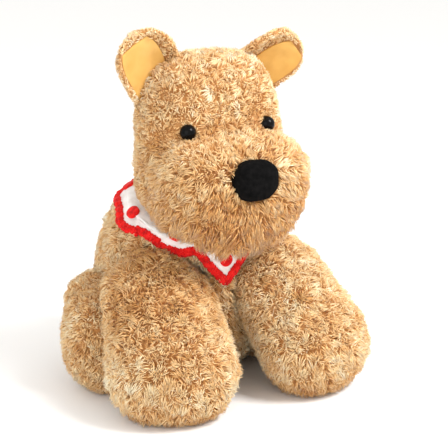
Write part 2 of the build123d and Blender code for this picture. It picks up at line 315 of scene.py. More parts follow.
def sewn_skin(body, nodes, rounds, voxel=VOXEL, lumps=LUMPS):
    """Cloth skin round CAD solids: remeshed, eased at its corners and filled a little unevenly."""
    verts, faces = [], []
    for node in nodes:
        points, corners = triangles(frame["nodes"][node].data)
        corners = corners + sum(len(v) for v in verts)
        verts.append(points)
        faces += [tuple(int(c) for c in face) for face in corners]
    skin = link_object(f"{body}_skin", mesh_from(np.concatenate(verts), faces))
    mesh = eased(skin, voxel, factor=0.6, rounds=rounds)
    points = points_of(mesh)
    offset = lumps * waves(points, WIDE_LUMP, 3) + 0.4 * lumps * waves(points, FINE_LUMP, 9)
    points = points + normals_of(mesh) * offset[:, None]
    points[:, 2] = np.maximum(points[:, 2], FLOOR_GAP)
    set_points(mesh, points)
    as_piece(skin, plush_skin, body, "plush", *nodes)
    return skin


def nodes_like(body, *words):
    """A body's nodes whose names hold one of the words."""
    return [node for node in bodies[body] if any(word in node for word in words)]


skins = {
    "torso": sewn_skin("torso", nodes_like("torso", "torso", "belly"), rounds=6),
    "head": sewn_skin("head", nodes_like("head", "panel", "gusset", "stuffing"), rounds=14),
}
for leg in LEGS:
    skins[leg] = sewn_skin(leg, bodies[leg], rounds=8)
skins["tail"] = sewn_skin("tail", bodies["tail"], rounds=6, voxel=TAIL_VOXEL, lumps=TAIL_LUMPS)

# How far each place is filled out, or drawn in where it is negative.
BACK_FILL, SHOULDER_FILL, INNER_LEG_FILL, HAUNCH_FILL = 6 * MM, 3.5 * MM, -4.5 * MM, 6 * MM
UNDER_EAR_FILL, JOWL_FILL, CORNER_FILL, HEAD_BACK_FILL = -8 * MM, -9 * MM, -4 * MM, 3 * MM
UNDER_EAR_REACH, JOWL_REACH = 23 * MM, 27 * MM
shoulder_middle = (joint_place("left_front_leg_raise")[0] + joint_place("right_front_leg_raise")[0]) / 2
head_low, head_high = (np.array(v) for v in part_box("head_stuffing"))


def fuller(skin, share, amount):
    """Fills a skin out where share says so."""
    points = points_of(skin.data)
    moved = points + normals_of(skin.data) * (amount * share(points))[:, None]
    moved[:, 2] = np.maximum(moved[:, 2], FLOOR_GAP)
    set_points(skin.data, moved)


def bell(values, middle, half):
    """1 at the middle, fading to 0 on both sides."""
    return np.exp(-((values - middle) / half) ** 2)


def round_place(place, reach):
    """Share that is 1 at a place and fades to 0 round it."""
    return lambda points: bell(np.linalg.norm(points - place, axis=1), 0, reach)


def below_collar(points):
    """1 under the shoulders' flat top, 0 on it."""
    height = (points - np.array(NECK)) @ np.array(NECK_AXIS)
    return np.clip((-9 * MM - height) / (8 * MM), 0, 1)


def back_of_torso(points):
    """1 half way up the back, 0 in front and under the collar."""
    height, half, front = 100 * MM, 32 * MM, -10 * MM
    return bell(points[:, 2], height, half) * (points[:, 1] > front) * below_collar(points)


def shoulder(points):
    """1 or a little more on the outer side of a front leg, near its joint."""
    start, width, half = 38 * MM, 22 * MM, 24 * MM
    outer = np.clip((np.abs(points[:, 0]) - start) / width, 0, 1.3)
    return bell(points[:, 2], shoulder_middle.z + 4 * MM, half) * outer


def inner_side(points):
    """1 towards the toy's middle, 0 on the outer side."""
    start, width = 40 * MM, 20 * MM
    return np.clip((start - np.abs(points[:, 0])) / width, 0, 1)


def haunch(points):
    """1 or a little more on the outer side of a hind leg, above its foot."""
    start, width, height, half = 45 * MM, 25 * MM, 58 * MM, 18 * MM
    outer = np.clip((np.abs(points[:, 0]) - start) / width, 0, 1.2)
    return bell(points[:, 2], height, half) * outer


def back_corners(points):
    """1 at the upright corners behind the head, 0 in front of its middle."""
    sideways = np.clip((np.abs(points[:, 0]) / head_high[0] - 0.55) / 0.45, 0, 1)
    depth, foot, height = 30 * MM, 15 * MM, 25 * MM
    behind = np.clip((points[:, 1] - (head_high[1] - depth)) / depth, 0, 1)
    above = np.clip((points[:, 2] - NECK[2] - foot) / height, 0, 1)
    return sideways * behind * above


def back_middle(points):
    """1 down the middle of the back of the head."""
    half, depth = 34 * MM, 25 * MM
    return bell(points[:, 0], 0, half) * (points[:, 1] > head_high[1] - depth)


fuller(skins["torso"], back_of_torso, BACK_FILL)
for leg in FRONT_LEGS:
    fuller(skins[leg], shoulder, SHOULDER_FILL)
    fuller(skins[leg], inner_side, INNER_LEG_FILL)
for leg in HIND_LEGS:
    fuller(skins[leg], haunch, HAUNCH_FILL)
for side, sign in (("left", 1), ("right", -1)):
    ear_root = np.array(joint_place(f"{side}_ear_fold")[0])
    under_ear = ear_root * [1.08, 1, 1] + np.array([0, -8, -7]) * MM
    fuller(skins["head"], round_place(under_ear, UNDER_EAR_REACH), UNDER_EAR_FILL)
    jowl = np.array([sign * 50 * MM, cad_low[1] + 46 * MM, NECK[2] - 15 * MM])
    fuller(skins["head"], round_place(jowl, JOWL_REACH), JOWL_FILL)
fuller(skins["head"], back_corners, CORNER_FILL)
fuller(skins["head"], back_middle, HEAD_BACK_FILL)


# ---- where hair may grow ----
NEAR = 35 * MM


def tree_of(mesh):
    """Tree that finds the nearest point of a mesh."""
    points, corners = triangles(mesh)
    return BVHTree.FromPolygons([Vector(p) for p in points], corners.tolist())


skin_trees = {body: tree_of(skin.data) for body, skin in skins.items()}


def depth_inside(tree, point):
    """How deep the point is under the skin, in metres: negative outside it, and -1 far from it."""
    place, normal, _, distance = tree.find_nearest(point, NEAR)
    if place is None:
        return -1.0
    return distance if (point - place).dot(normal) < 0 else -distance


def exposed_faces(points, corners, others, margin):
    """Which faces are clear of the other bodies' skins."""
    centres = points[corners].mean(axis=1)
    clear = np.ones(len(centres), dtype=bool)
    for other in others:
        tree = skin_trees[other]
        for index, centre in enumerate(centres):
            if clear[index] and depth_inside(tree, Vector(centre)) > -margin:
                clear[index] = False
    return clear


# ---- the collar's hem, which also bounds the fur ----
COLLAR_STEPS = 240
RAY_START, RAY_REACH = 0.12, 0.11
HEM_SEARCH = np.arange(-46, -3, 0.5) * MM
HEM_WITHOUT_EDGING = -6 * MM
FRONT_TIP, FRONT_SLOPE, HEM_RADIUS = -37.5 * MM, 0.80, 62 * MM
RAISED_OVER_LEGS, RAISED_OVER_SIDES = 1.2 * MM, 2.2 * MM
HEM_CLEARANCE = 0.5 * MM
edging_tree = tree_of(frame["nodes"]["collar_edging"].data)


def neck_point(angle, height, radius):
    """Point from its turn about the neck axis, 0 in front, its height and its distance from the axis."""
    out = NECK_FRONT * math.cos(angle) + NECK_SIDE * math.sin(angle)
    return NECK + NECK_AXIS * height + out * radius


def hit_radius(tree, angle, height):
    """Distance from the neck axis at which a ray from outside meets the tree, or None."""
    start = neck_point(angle, height, RAY_START)
    towards = neck_point(angle, height, 0.0) - start
    place = tree.ray_cast(start, towards.normalized(), RAY_REACH)[0]
    if place is None:
        return None
    return (place - NECK - NECK_AXIS * (place - NECK).dot(NECK_AXIS)).length


def smooth_round(values, passes):
    """Values on a closed ring, smoothed."""
    for _ in range(passes):
        values = (np.roll(values, 1) + 2 * values + np.roll(values, -1)) / 4
    return values


def edging_height(angle):
    """Height of the lowest point of the CAD edging at a turn about the neck."""
    for height in HEM_SEARCH:
        if hit_radius(edging_tree, angle, height):
            return height
    return HEM_WITHOUT_EDGING


angles = np.arange(COLLAR_STEPS) * 2 * math.pi / COLLAR_STEPS
turned = np.abs((angles + math.pi) % (2 * math.pi) - math.pi)
over_legs = bell(turned, math.radians(48), math.radians(17))
over_sides = bell(turned, math.radians(90), math.radians(20))
cut_height = smooth_round(np.array([edging_height(angle) for angle in angles]), 3)
edge_height = cut_height + RAISED_OVER_LEGS * over_legs + RAISED_OVER_SIDES * over_sides
edge_height = np.minimum(edge_height, FRONT_TIP + FRONT_SLOPE * HEM_RADIUS * turned)
edge_height = smooth_round(edge_height, 2)


def off_collar(centres):
    """Which points lie clear of the collar."""
    relative = centres - np.array(NECK)
    height = relative @ np.array(NECK_AXIS)
    turn = np.arctan2(relative @ np.array(NECK_SIDE), relative @ np.array(NECK_FRONT))
    steps = np.round(turn / (2 * math.pi) * COLLAR_STEPS).astype(int) % COLLAR_STEPS
    return height <= edge_height[steps] - HEM_CLEARANCE


# ---- fur ----
HAIR_WIDTH, EAR_HAIR_WIDTH = 0.36 * MM, 0.34 * MM
HAIR_FLOOR = 0.4 * MM
ROOT_DEPTH = 0.6 * MM
SHORTEST_PRESSED = 0.8 * MM
PRESSED_REACH, PRESSED_SHARE = 14 * MM, 0.8
LENGTH_SPREAD, WIDTH_SPREAD = (0.65, 1.2), (0.7, 1.25)
WAVE_LEAN, OWN_LEAN = 0.50, 0.36
ROOT_LEAN, TIP_STAND, ROOT_PART, TIP_PART = 0.45, 0.55, 0.5, 0.6
BEND_WIDTH = 0.85
TUFT_SHARE, TUFT_PULL = 0.028, (0.28, 0.72)
MIDDLE_SHADE, TUFT_SHADE, OWN_SHADE = 2.35, 0.42, 0.35
HAIRS_PER_PIECE = 21000
HAIRS_PER_MM2 = {"head": 0.92, "torso": 0.75, "leg": 0.88, "tail": 0.60, "ear": 1.3}
HAIR_LENGTH = {
    "torso": 5.6 * MM,
    "front_leg": 6.6 * MM,
    "hind_leg": 5.6 * MM,
    "tail": 4.5 * MM,
    "ear": 2.2 * MM,
}
CROWN_HAIR_MM, MUZZLE_EXTRA_MM, CHIN_EXTRA_MM, BEARD_EXTRA_MM = 4.2, 2.8, 3.0, 6.5


def unit(vectors):
    """The vectors, each brought to a length of 1."""
    return vectors / np.linalg.norm(vectors, axis=1)[:, None]


def strands_mesh(roots, bends, tips, widths, painted_shade_roots, painted_highlight_tips):
    """Curved three-sided hairs, each from its root through a bend to its tip."""
    count = len(roots)
    along = unit(tips - roots)
    side = unit(np.cross(along, rng.normal(size=(count, 3))))
    other = np.cross(along, side)
    rings = []
    for centre, width in ((roots, 1.0), (bends, BEND_WIDTH)):
        for corner in range(3):
            angle = corner * 2 * math.pi / 3
            around = side * math.cos(angle) + other * math.sin(angle)
            rings.append(centre + around * (widths * width)[:, None])
    verts = np.stack(rings + [tips], axis=1).reshape(-1, 3)
    pattern = []
    for corner in range(3):
        after = (corner + 1) % 3
        pattern += [(corner, after, 3 + after), (corner, 3 + after, 3 + corner)]
    pattern += [(3 + corner, 3 + (corner + 1) % 3, 6) for corner in range(3)]
    faces = (np.arange(count)[:, None, None] * 7 + np.array(pattern)[None]).reshape(-1, 3)
    # Painted shade and highlight: the six faces from root to bend take the deeper colour, shade down in
    # the pile, and the three at the tip take the lighter one.
    shades = np.concatenate(
        [np.repeat(painted_shade_roots[:, None], 6, axis=1), np.repeat(painted_highlight_tips[:, None], 3, axis=1)], axis=1
    ).ravel()
    mesh = bpy.data.meshes.new("fur")
    mesh.vertices.add(len(verts))
    mesh.vertices.foreach_set("co", verts.ravel())
    mesh.loops.add(faces.size)
    mesh.loops.foreach_set("vertex_index", faces.ravel().astype(np.int32))
    mesh.polygons.add(len(faces))
    mesh.polygons.foreach_set("loop_start", np.arange(0, faces.size, 3, dtype=np.int32))
    for material in fur_materials:
        mesh.materials.append(material)
    mesh.polygons.foreach_set("material_index", shades.astype(np.int32))
    mesh.polygons.foreach_set("use_smooth", np.ones(len(faces), dtype=bool))
    mesh.update(calc_edges=True)
    return mesh


def room_before(tree, roots):
    """Room between each root and a neighbour's skin, for hairs that it presses down."""
    distances = [tree.find_nearest(Vector(root), PRESSED_REACH)[3] for root in roots]
    return np.array([PRESSED_REACH if found is None else PRESSED_SHARE * found for found in distances])


def scattered(points, corners, density):
    """Random roots on the faces, density of them on a square millimetre, and the normals there."""
    a, b, c = (points[corners[:, index]] for index in range(3))
    cross = np.cross(b - a, c - a)
    areas = np.linalg.norm(cross, axis=1) / 2
    count = int(areas.sum() / MM**2 * density)
    picks = rng.choice(len(areas), size=count, p=areas / areas.sum())
    u, v = rng.random(count), rng.random(count)
    flip = u + v > 1
    u[flip], v[flip] = 1 - u[flip], 1 - v[flip]
    roots = a[picks] + (b - a)[picks] * u[:, None] + (c - a)[picks] * v[:, None]
    return roots, unit(cross)[picks]


def gathered(tips):
    """Tips drawn together into tufts, and a shade of its own for each tuft."""
    count = len(tips)
    middles = tips[rng.choice(count, size=max(4, int(count * TUFT_SHARE)), replace=False)]
    tree = KDTree(len(middles))
    for index, middle in enumerate(middles):
        tree.insert(middle, index)
    tree.balance()
    nearest = np.fromiter((tree.find(tip)[1] for tip in tips), dtype=np.int64, count=count)
    pull = rng.uniform(*TUFT_PULL, count)[:, None]
    shade = rng.normal(size=len(middles))
    return tips + (middles[nearest] - tips) * pull, shade[nearest]


def curved(roots, normals, lengths, lean):
    """Bend and tip of hairs that start along their normals and turn to their lean, and tuft shades."""
    lean = lean - normals * (lean * normals).sum(axis=1)[:, None]
    bend = roots + unit(normals + ROOT_LEAN * lean) * (ROOT_PART * lengths)[:, None]
    tips = bend + unit(TIP_STAND * normals + lean) * (TIP_PART * lengths)[:, None]
    tips, tufts = gathered(tips)
    bend = 0.7 * bend + 0.3 * (roots + (tips - roots) * 0.45 + normals * (0.15 * lengths)[:, None])
    for place in (bend, tips):
        place[:, 2] = np.maximum(place[:, 2], HAIR_FLOOR)
    return bend, tips, tufts


def shade_of(roots, tufts, tone):
    """Each hair's number in FUR_SHADES, from its place on the toy, which carries painted light and shade
    on the head and front legs, its tuft and chance.
    """
    shade = MIDDLE_SHADE + (tone(roots) if callable(tone) else tone)
    shade += 0.5 * waves(roots, 11 * MM, 77) + 0.35 * waves(roots, 40 * MM, 5)
    shade += TUFT_SHADE * tufts + rng.normal(size=len(roots)) * OWN_SHADE
    return shade


def grow(body, skin_mesh, density, length, comb, others=(), keep=None, tone=0.0, width=HAIR_WIDTH,
         margin=1.5 * MM, pressed_by=()):
    """Pile on a body's skin. length and comb are functions of the root points."""
    points, corners = triangles(skin_mesh)
    corners = corners[exposed_faces(points, corners, others, margin)]
    if keep is not None:
        corners = corners[keep(points[corners].mean(axis=1))]
    roots, normals = scattered(points, corners, density)
    count = len(roots)
    lengths = length(roots) * rng.uniform(*LENGTH_SPREAD, count)
    for neighbour in pressed_by:
        room = room_before(skin_trees[neighbour], roots)
        lengths = np.minimum(lengths, np.maximum(room, SHORTEST_PRESSED))
    lean = comb(roots) + WAVE_LEAN * wave_vectors(roots, 15 * MM, 31)
    lean = lean + OWN_LEAN * rng.normal(size=(count, 3))
    bend, tips, tufts = curved(roots, normals, lengths, lean)
    roots = roots - normals * ROOT_DEPTH
    shade = shade_of(roots, tufts, tone)
    # Painted shade at each hair's lower part and painted highlight at its tip: the lower part is drawn
    # deeper than the hair's colour, the tip lighter.
    low = np.clip(np.round(shade - 0.55), 0, len(FUR_SHADES) - 1)
    high = np.clip(np.round(shade + 0.5), 0, len(FUR_SHADES) - 1)
    widths = width * rng.uniform(*WIDTH_SPREAD, count)
    pieces = max(1, math.ceil(count / HAIRS_PER_PIECE))
    order = np.argsort(roots[:, 2])
    for index, part in enumerate(np.array_split(order, pieces)):
        mesh = strands_mesh(roots[part], bend[part], tips[part], widths[part], low[part], high[part])
        fur = link_object(f"{body}_fur_{index + 1}" if pieces > 1 else f"{body}_fur", mesh)
        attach(fur, body)


def everywhere(value):
    """A length that is the same everywhere."""
    return lambda roots: np.full(len(roots), value)


def combed(x, y, z):
    """A comb that pulls every hair the same way."""
    return lambda roots: np.tile(np.array([x, y, z]), (len(roots), 1))


nose_low, nose_high = (np.array(v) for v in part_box("nose_cover"))
nose_centre = (nose_low + nose_high) / 2
NOSE_DEPTH = 10.5 * MM
nose_half = np.array([(nose_high - nose_low)[0] / 2, NOSE_DEPTH, (nose_high - nose_low)[2] / 2])
nose_middle = np.array([nose_centre[0], nose_low[1] + 10 * MM, nose_centre[2]])
muzzle_top = nose_high[2] + 10 * MM
eye_boxes = [[np.array(v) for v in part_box(f"{side}_eye")] for side in ("left", "right")]
EYE_CLEARANCE, NEAR_EYE = 4.8 * MM, 14 * MM
NOSE_HAIRLINE = 0.9


def muzzle_share(roots):
    """1 on the muzzle and cheeks, 0 on the crown and the back of the head."""
    down = np.clip((muzzle_top - roots[:, 2]) / (18 * MM), 0, 1)
    front = np.clip((head_low[1] + 68 * MM - roots[:, 1]) / (20 * MM), 0, 1)
    return down * front


def head_length(roots):
    """Long on the muzzle, longest under the chin, short near the eyes."""
    share = muzzle_share(roots)
    chin = np.clip((head_low[2] + 45 * MM - roots[:, 2]) / (25 * MM), 0, 1) * share
    near_eye = np.zeros(len(roots))
    for low, high in eye_boxes:
        distance = np.linalg.norm(roots - (low + high) / 2, axis=1)
        near_eye = np.maximum(near_eye, np.exp(-(distance / NEAR_EYE) ** 2))
    beard = chin * bell(roots[:, 0], 0, 26 * MM)
    length = CROWN_HAIR_MM + MUZZLE_EXTRA_MM * share + CHIN_EXTRA_MM * chin + BEARD_EXTRA_MM * beard
    return length * (1 - 0.45 * near_eye) * MM


def head_tone_painted_light(roots):
    """Painted light and shade: lighter on the crown, a painted highlight, and deeper under the muzzle, a
    painted shade.
    """
    low_part = np.clip((muzzle_top - 20 * MM - roots[:, 2]) / (40 * MM), 0, 1)
    high_part = np.clip((roots[:, 2] - muzzle_top - 10 * MM) / (40 * MM), 0, 1)
    return 0.4 + 0.45 * high_part - 1.6 * low_part


def leg_tone_painted_light(roots):
    """Painted light and shade: on the right leg, lighter towards the paw and deeper up near the shoulder,
    the left leg nearly even, and painted shade where the paw meets the floor.
    """
    upper = np.clip((roots[:, 2] - 40 * MM) / (40 * MM), 0, 1)
    sole = np.clip((20 * MM - roots[:, 2]) / (10 * MM), 0, 1)
    return np.where(roots[:, 0] < 0, 1.0 - 1.3 * upper, 0.75 - 0.1 * upper) - 1.4 * sole


def head_comb(roots):
    """Away from the nose on the muzzle and down at its sides, up and outward elsewhere."""
    away = unit(roots - nose_centre)
    share = muzzle_share(roots)[:, None]
    beside = np.abs(roots[:, 0]) / (26 * MM)
    low_part = np.clip(beside + (nose_centre[2] - roots[:, 2]) / (18 * MM), 0, 1)
    down = low_part[:, None] * np.array([0, 0, -1.0])
    outward = roots * np.array([1 / (50 * MM), 0, 0])
    return share * (0.8 * away + 0.7 * down) + (1 - share) * (0.2 * outward + np.array([0, 0, 0.25]))


def clear_of_face(centres):
    """Leaves the eyes and the nose free of hair."""
    clear = np.ones(len(centres), dtype=bool)
    for low, high in eye_boxes:
        middle = (low + high) / 2
        middle[1] = low[1] + 5 * MM
        clear &= np.linalg.norm(centres - middle, axis=1) > EYE_CLEARANCE
    return clear & (np.linalg.norm((centres - nose_middle) / nose_half, axis=1) > NOSE_HAIRLINE)


def leg_beside(leg):
    """The other leg on the same side."""
    side = leg.split("_")[0]
    return [other for other in LEGS if other != leg and other.startswith(side)]


grow("head", skins["head"].data, HAIRS_PER_MM2["head"], head_length, head_comb,
     ["torso"], clear_of_face, head_tone_painted_light, margin=0.2 * MM, pressed_by=["torso"])
grow("torso", skins["torso"].data, HAIRS_PER_MM2["torso"], everywhere(HAIR_LENGTH["torso"]),
     combed(0, 0, -0.5), LEGS + ["head", "tail"], off_collar, tone=0.8)
for legs, kind, tone in ((FRONT_LEGS, "front_leg", leg_tone_painted_light), (HIND_LEGS, "hind_leg", 0.5)):
    for leg in legs:
        grow(leg, skins[leg].data, HAIRS_PER_MM2["leg"], everywhere(HAIR_LENGTH[kind]),
             combed(0, -0.2, -0.45), ["torso"], off_collar, tone, pressed_by=leg_beside(leg))
grow("tail", skins["tail"].data, HAIRS_PER_MM2["tail"], everywhere(HAIR_LENGTH["tail"]),
     combed(0, 0, 0.4), ["torso"], tone=0.5, pressed_by=["torso"])


# ---- ears ----
EAR_HALF_WIDTH = {"left": 24 * MM, "right": 22.5 * MM}
EAR_SHIFT = {"left": 4 * MM, "right": 0}
EAR_LEAN = {"left": math.radians(51), "right": math.radians(34)}
EAR_FORWARD = {"left": math.radians(24), "right": math.radians(16)}
EAR_ROOT, EAR_TOP = -15 * MM, 32 * MM
EAR_VOXEL = 1.1 * MM
EAR_RIM, EAR_SETBACK, EAR_NARROWEST = 1.8 * MM, 7 * MM, 0.4 * MM
EAR_FOLD_MM, EAR_CUP_MM, EAR_CURL_MM = 11, 4.5, 5
SHELL_STEPS, LINING_STEPS = 20, 16
SHELL_DEPTHS, LINING_DEPTHS = (1.4 * MM, -2.0 * MM), (2.9 * MM, 1.2 * MM)
SHELL_TRIMS = (0, 0, 0)
LINING_TRIMS = {"left": (15 * MM, 3.0 * MM, 5.0 * MM), "right": (8.5 * MM, 3.2 * MM, 6.5 * MM)}
LINING_SQUARE = 0.96
LINING_RIPPLE, LINING_WAVE = 0.5 * MM, 14 * MM
LINING_EDGE = 1.0 * MM


def ear_axes(side):
    """The ear's sign along X, its foot, and its directions across, up and to the front."""
    sign = 1 if side == "left" else -1
    foot, seam = joint_place(f"{side}_ear_fold")
    lean, forward = EAR_LEAN[side], EAR_FORWARD[side]
    up = Vector((sign * math.sin(lean) * math.cos(forward), -math.sin(forward),
                 math.cos(lean) * math.cos(forward)))
    facing = seam.cross(up).normalized() * (1 if seam.cross(up).y < 0 else -1)
    across = up.cross(facing) * -1
    across = across if across.x > 0 else -across
    return sign, foot + across * (sign * EAR_SHIFT[side]), across, up, facing


def ear_outline(side, t):
    """Half width and height of the ear at t from its root, 0, to its tip, 1."""
    height = EAR_ROOT + (EAR_TOP - EAR_ROOT) * t
    bulge = 1 - 0.10 * (1 - t)
    taper = math.sqrt(max(0.0, 1 - max(0.0, (t - 0.36) / 0.64) ** 2.7))
    return EAR_HALF_WIDTH[side] * bulge * taper, height


def ear_surface(side, depth, trims, steps, rim=0.0, square=1.0):
    """Cupped grid over the ear, drawn in from its inner, outer and upper edges by trims."""
    sign, foot, across, up, facing = ear_axes(side)
    half_width = EAR_HALF_WIDTH[side]
    inner, outer, upper = trims
    points = []
    for row in range(steps + 1):
        t = row / steps * (1 - upper / (EAR_TOP - EAR_ROOT))
        wide, height = ear_outline(side, t * square)[0], ear_outline(side, t)[1]
        start, end = sign * (inner - wide), sign * (wide - outer)
        for step in range(steps + 1):
            s = math.sin((step / steps - 0.5) * math.pi)
            x = (start + end) / 2 + s * max(abs(end - start) / 2, EAR_NARROWEST)
            fold = max(0.0, -sign * x / half_width - 0.35) ** 1.5 * EAR_FOLD_MM * MM
            cup, curl = (x / half_width) ** 2 * EAR_CUP_MM * MM, max(0.0, t - 0.3) ** 2 * EAR_CURL_MM * MM
            edge = min(1.0, max(abs(s), (t - 0.3) / 0.7)) ** 5
            out = cup + curl + fold - EAR_SETBACK + depth + rim * edge
            points.append(foot + across * x + up * height + facing * out)
    return points


def closed_grids(front, back, steps):
    """Closed mesh between two square grids."""
    faces = []
    width = steps + 1
    for row in range(steps):
        for step in range(steps):
            i = row * width + step
            quad = (i, i + 1, i + width + 1, i + width)
            faces.append(quad)
            faces.append(tuple(len(front) + q for q in reversed(quad)))
    edge = [row * width for row in range(width)]
    edge += [steps * width + step for step in range(1, width)]
    edge += [row * width + steps for row in range(steps - 1, -1, -1)]
    edge += [step for step in range(steps - 1, 0, -1)]
    for index, corner in enumerate(edge):
        after = edge[(index + 1) % len(edge)]
        faces.append((after, corner, len(front) + corner, len(front) + after))
    mesh = mesh_from(front + back, faces)
    face_outward(mesh)
    return mesh


def ear_solid(name, side, depths, trims, steps, rim=0.0, square=1.0):
    """The ear's shape between two depths."""
    front = ear_surface(side, depths[0], trims, steps, rim, square)
    back = ear_surface(side, depths[1], trims, steps, 0.0, square)
    return link_object(f"{side}_{name}", closed_grids(front, back, steps))


def make_ear(side):
    """Furry shell with a rounded rim, and a velour lining set into it."""
    body = f"{side}_ear"
    _, _, _, up, facing = ear_axes(side)
    shell = ear_solid("ear_shell", side, SHELL_DEPTHS, SHELL_TRIMS, SHELL_STEPS, EAR_RIM)
    eased(shell, EAR_VOXEL, factor=0.5, rounds=5)
    as_piece(shell, plush_skin, body, "plush", f"{side}_ear_back")
    lining = ear_solid("ear_lining_cloth", side, LINING_DEPTHS, LINING_TRIMS[side], LINING_STEPS,
                       square=LINING_SQUARE)
    points = points_of(lining.data)
    points += np.array(facing)[None] * (LINING_RIPPLE * waves(points, LINING_WAVE, 50))[:, None]
    set_points(lining.data, points)
    smooth = lining.modifiers.new("smooth", "SUBSURF")
    smooth.levels = smooth.render_levels = 1
    lining_tree = tree_of(applied(lining))
    as_piece(lining, lining_cloth, body, "ear_lining", f"{side}_ear_lining")

    def off_lining(centres):
        """Which points lie clear of the lining."""
        return np.array([lining_tree.find_nearest(Vector(centre))[3] > LINING_EDGE for centre in centres])

    grow(body, shell.data, HAIRS_PER_MM2["ear"], everywhere(HAIR_LENGTH["ear"]),
         combed(*(np.array(up) * 0.9)), ["head"], off_lining, 0.9, width=EAR_HAIR_WIDTH, margin=-1 * MM)


for side in ("left", "right"):
    make_ear(side)


# ---- nose and eyes ----
NOSE_SIZE = np.array([0.95, 1, 0.95])
NOSE_ROUNDNESS = 0.86
NOSE_LUMPS, NOSE_WAVE = 0.25 * MM, 9 * MM


def make_nose():
    """Padded oval pad, a little squarer than a ball."""
    bpy.ops.mesh.primitive_uv_sphere_add(segments=64, ring_count=32, radius=1)
    nose = bpy.context.object
    nose.name = "nose_pad"
    points = points_of(nose.data)
    boxy = np.sign(points) * np.abs(points) ** NOSE_ROUNDNESS
    points = boxy * (nose_half * NOSE_SIZE) + nose_middle
    points += NOSE_LUMPS * wave_vectors(points, NOSE_WAVE, 60)
    set_points(nose.data, points)
    as_piece(nose, nose_cloth, "head", "nose", "nose_cover", "nose_padding")


def repaint(node, material):
    """Gives its material to a CAD node that no piece replaces."""
    mesh = frame["nodes"][node].data
    mesh.materials.clear()
    mesh.materials.append(material)


make_nose()
bead = bead_material()
washer = plain_material("washer plastic", (0.8, 0.8, 0.77), 0.4, 0.0)
for side in ("left", "right"):
    repaint(f"{side}_eye", bead)
    repaint(f"{side}_eye_washer", washer)
repaint("neck_stuffing", plain_material("stuffing fibre", (0.85, 0.83, 0.78), 0.95, 0.2))


# ---- collar ----
COLLAR_TOP = -4.5 * MM
TOP_ROWS, HANGING_ROWS = 5, 12
LAST_ROW = TOP_ROWS + HANGING_ROWS
COLLAR_HOLE = 39.5 * MM
COLLAR_LIFT, LEAST_LIFT = 2.6 * MM, 0.6
FELT_ABOVE_HEM, TOP_RISE, RIM_STEP = 2.0 * MM, 1.3 * MM, 2.5 * MM
FELT_THICKNESS = 1.5 * MM
FELT_RIPPLE, FELT_WAVE = 0.35 * MM, 17 * MM
WIDEST_REST, REST_STEP = 78 * MM, 0.5 * MM
RADIUS_OFF_TORSO = 50 * MM
KNOT_STEP = 1.9 * MM
KNOT_ROWS_MM, KNOT_SIZES_MM, KNOT_LIFT_MM = (-1.7, 0.0, 1.7), (1.35, 1.75), 0.4
DOT_RADIUS = 4.9 * MM
DOT_RISES_MM = (1.5, 1.5, 1.4, 1.1, -1.0)
DOT_SPOKES = 28
DEGREES_BETWEEN_DOTS = 46


def resting_radius(angle, height, lift):
    """Distance from the neck axis at which the collar lies on the torso and over the legs' tops."""
    radius = (hit_radius(skin_trees["torso"], angle, height) or RADIUS_OFF_TORSO) + lift
    while radius < WIDEST_REST:
        place = neck_point(angle, height, radius)
        if max(depth_inside(skin_trees[leg], place) for leg in FRONT_LEGS) < -lift:
            break
        radius += REST_STEP
    return radius


def resting_radii(row, lift):
    """Resting radius of each cell in a row of turns and heights."""
    return np.array([resting_radius(angle, height, lift) for angle, height in row[:, :2]])


def collar_surface(lift):
    """Table of turn, height and radius: the flat part round the neck, then the part that hangs."""
    rows = np.zeros((LAST_ROW + 1, COLLAR_STEPS, 3))
    rows[:, :, 0] = angles
    for row in range(HANGING_ROWS + 1):
        t = row / HANGING_ROWS
        rows[TOP_ROWS + row, :, 1] = COLLAR_TOP + (edge_height + FELT_ABOVE_HEM - COLLAR_TOP) * t
        radii = resting_radii(rows[TOP_ROWS + row], lift)
        rows[TOP_ROWS + row, :, 2] = smooth_round(np.maximum(smooth_round(radii, 5), radii), 2)
    rim = rows[TOP_ROWS, :, 2] - RIM_STEP
    for row in range(TOP_ROWS):
        rows[row, :, 1] = COLLAR_TOP + TOP_RISE
        rows[row, :, 2] = COLLAR_HOLE + (rim - COLLAR_HOLE) * row / (TOP_ROWS - 1)
    for _ in range(3):
        rows[1:-1, :, 1:] = (rows[:-2, :, 1:] + 2 * rows[1:-1, :, 1:] + rows[2:, :, 1:]) / 4
    for row in rows[TOP_ROWS:]:
        row[:, 2] = np.maximum(row[:, 2], resting_radii(row, LEAST_LIFT * lift))
    return rows


collar_table = collar_surface(COLLAR_LIFT)
cloth_points = np.array([tuple(neck_point(*cell)) for cell in collar_table.reshape(-1, 3)])
cloth_grid = cloth_points.reshape(LAST_ROW + 1, COLLAR_STEPS, 3)
round_step = np.roll(cloth_grid, -1, axis=1) - np.roll(cloth_grid, 1, axis=1)
cloth_normals = np.cross(np.gradient(cloth_grid, axis=0), round_step)
cloth_normals /= np.linalg.norm(cloth_normals, axis=2)[:, :, None]
if (cloth_normals[LAST_ROW, 0] @ np.array(NECK_FRONT)) < 0:
    cloth_normals = -cloth_normals
ripple = FELT_RIPPLE * waves(cloth_points, FELT_WAVE, 12).reshape(LAST_ROW + 1, COLLAR_STEPS, 1)
cloth_grid = cloth_grid + cloth_normals * ripple


